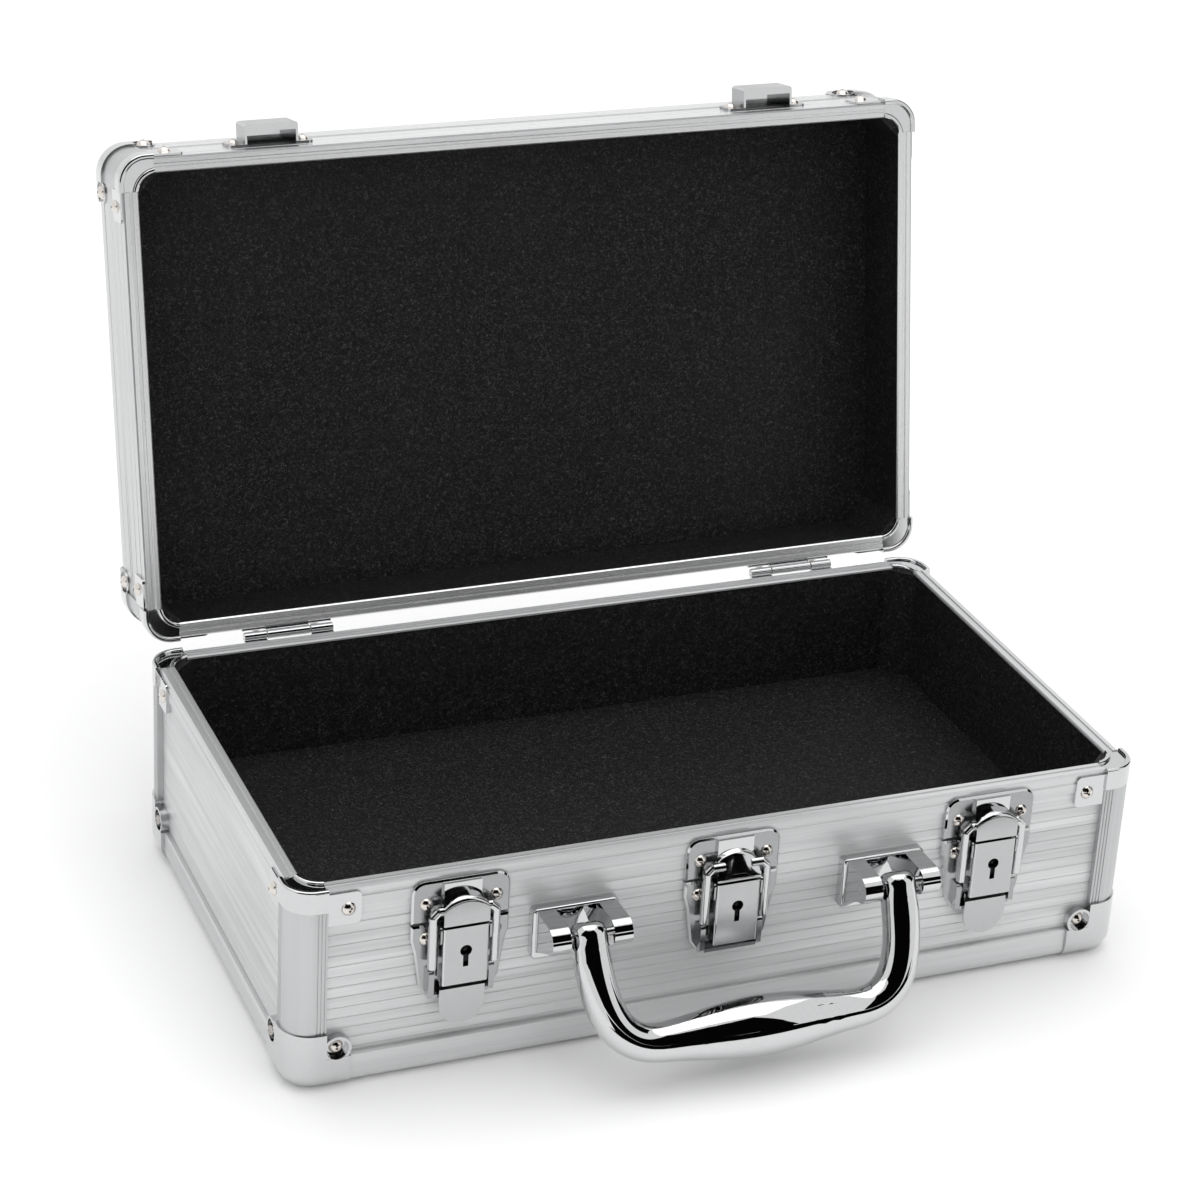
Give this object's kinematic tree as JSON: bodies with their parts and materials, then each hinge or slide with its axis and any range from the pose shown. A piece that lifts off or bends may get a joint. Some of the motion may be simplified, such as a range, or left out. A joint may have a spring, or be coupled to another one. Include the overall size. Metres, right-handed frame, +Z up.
{
  "type": "laptop hard case",
  "caption": "Aluminium framed hard case with ribbed sheet walls, an open hinged lid, key latches, a folding front handle and a black lined inside.",
  "frame": {"origin": "middle of the flat underside of the base, on the plane that the case stands on", "axes": "+X along the front from the left latch to the right latch, -Y is the front with the handle, +Z up"},
  "size_m": [0.335, 0.3144, 0.2769],
  "materials": {
    "ribbed_sheet": "ribbed satin sheet",
    "rail": "satin extrusion",
    "corner": "polished",
    "hardware": "polished pressed steel",
    "handle": "mirror chrome",
    "rivet": "domed rivet heads",
    "pin": "plain steel",
    "plug": "darkened steel lock plug",
    "lining": "black lining sheet",
    "board": "thin board core",
    "foam": "foam pad"
  },
  "bodies": {
    "base": {"base_panel_front": "ribbed_sheet", "base_panel_back": "ribbed_sheet", "base_panel_left": "ribbed_sheet", "base_panel_right": "ribbed_sheet", "base_bottom_panel": "ribbed_sheet", "base_rim_rails": "rail", "base_bottom_rails": "rail", "base_corner_posts": "rail", "base_top_corners": "corner", "base_bottom_corners": "corner", "base_wall_boards": "board", "base_bottom_board": "board", "base_floor_foam": "foam", "base_floor_lining": "lining", "base_wall_linings": "lining", "base_corner_fillers": "lining", "base_corner_rivets": "rivet", "latch_upper_plates": "hardware", "latch_lower_plates": "hardware", "latch_rivets": "rivet", "latch_pins": "pin", "handle_bracket_left": "hardware", "handle_bracket_right": "hardware", "handle_bracket_rivets": "rivet", "handle_pins": "pin", "base_hinge_leaves": "hardware", "base_hinge_rivets": "rivet", "hinge_pins": "pin"},
    "lid": {"lid_wall_front": "rail", "lid_wall_back": "rail", "lid_wall_left": "rail", "lid_wall_right": "rail", "lid_top_panel": "ribbed_sheet", "lid_wall_boards": "board", "lid_top_board": "board", "lid_ceiling_foam": "foam", "lid_ceiling_lining": "lining", "lid_wall_linings": "lining", "lid_corner_fillers": "lining", "lid_corner_posts": "rail", "lid_rim_corners": "corner", "lid_outer_corners": "corner", "lid_corner_rivets": "rivet", "lid_strikes": "hardware", "lid_strike_rivets": "rivet", "lid_hinge_leaves": "hardware", "lid_hinge_rivets": "rivet"},
    "handle": {"handle_grip": "handle"},
    "hook_left": {"latch_hook_left": "hardware"},
    "lever_left": {"latch_lever_left": "hardware"},
    "plug_left": {"latch_plug_left": "plug"},
    "hook_middle": {"latch_hook_middle": "hardware"},
    "lever_middle": {"latch_lever_middle": "hardware"},
    "plug_middle": {"latch_plug_middle": "plug"},
    "hook_right": {"latch_hook_right": "hardware"},
    "lever_right": {"latch_lever_right": "hardware"},
    "plug_right": {"latch_plug_right": "plug"}
  },
  "joints": [
    {"name": "lid_hinge", "type": "hinge", "parent": "base", "child": "lid", "pos_m": [0, 0.0968, 0.0828], "axis": [-1, 0, 0], "range_deg": [-101, 0]},
    {"name": "handle_swing", "type": "hinge", "parent": "base", "child": "handle", "pos_m": [0, -0.1088, 0.0565], "axis": [-1, 0, 0], "range_deg": [0, 115]},
    {"name": "lever_left", "type": "hinge", "parent": "base", "child": "lever_left", "pos_m": [-0.104, -0.1004, 0.0623], "axis": [-1, 0, 0], "range_deg": [0, 90]},
    {"name": "hook_left", "type": "slide", "parent": "base", "child": "hook_left", "axis": [0, 0, 1], "range_m": [0, 0.014]},
    {"name": "plug_left", "type": "hinge", "parent": "lever_left", "child": "plug_left", "pos_m": [-0.104, -0.099, 0.0539], "axis": [0, -1, 0], "range_deg": [0, 90]},
    {"name": "lever_middle", "type": "hinge", "parent": "base", "child": "lever_middle", "pos_m": [0, -0.1004, 0.0623], "axis": [-1, 0, 0], "range_deg": [0, 90]},
    {"name": "hook_middle", "type": "slide", "parent": "base", "child": "hook_middle", "axis": [0, 0, 1], "range_m": [0, 0.014]},
    {"name": "plug_middle", "type": "hinge", "parent": "lever_middle", "child": "plug_middle", "pos_m": [0, -0.099, 0.0539], "axis": [0, -1, 0], "range_deg": [0, 90]},
    {"name": "lever_right", "type": "hinge", "parent": "base", "child": "lever_right", "pos_m": [0.104, -0.1004, 0.0623], "axis": [-1, 0, 0], "range_deg": [0, 90]},
    {"name": "hook_right", "type": "slide", "parent": "base", "child": "hook_right", "axis": [0, 0, 1], "range_m": [0, 0.014]},
    {"name": "plug_right", "type": "hinge", "parent": "lever_right", "child": "plug_right", "pos_m": [0.104, -0.099, 0.0539], "axis": [0, -1, 0], "range_deg": [0, 90]}
  ]
}
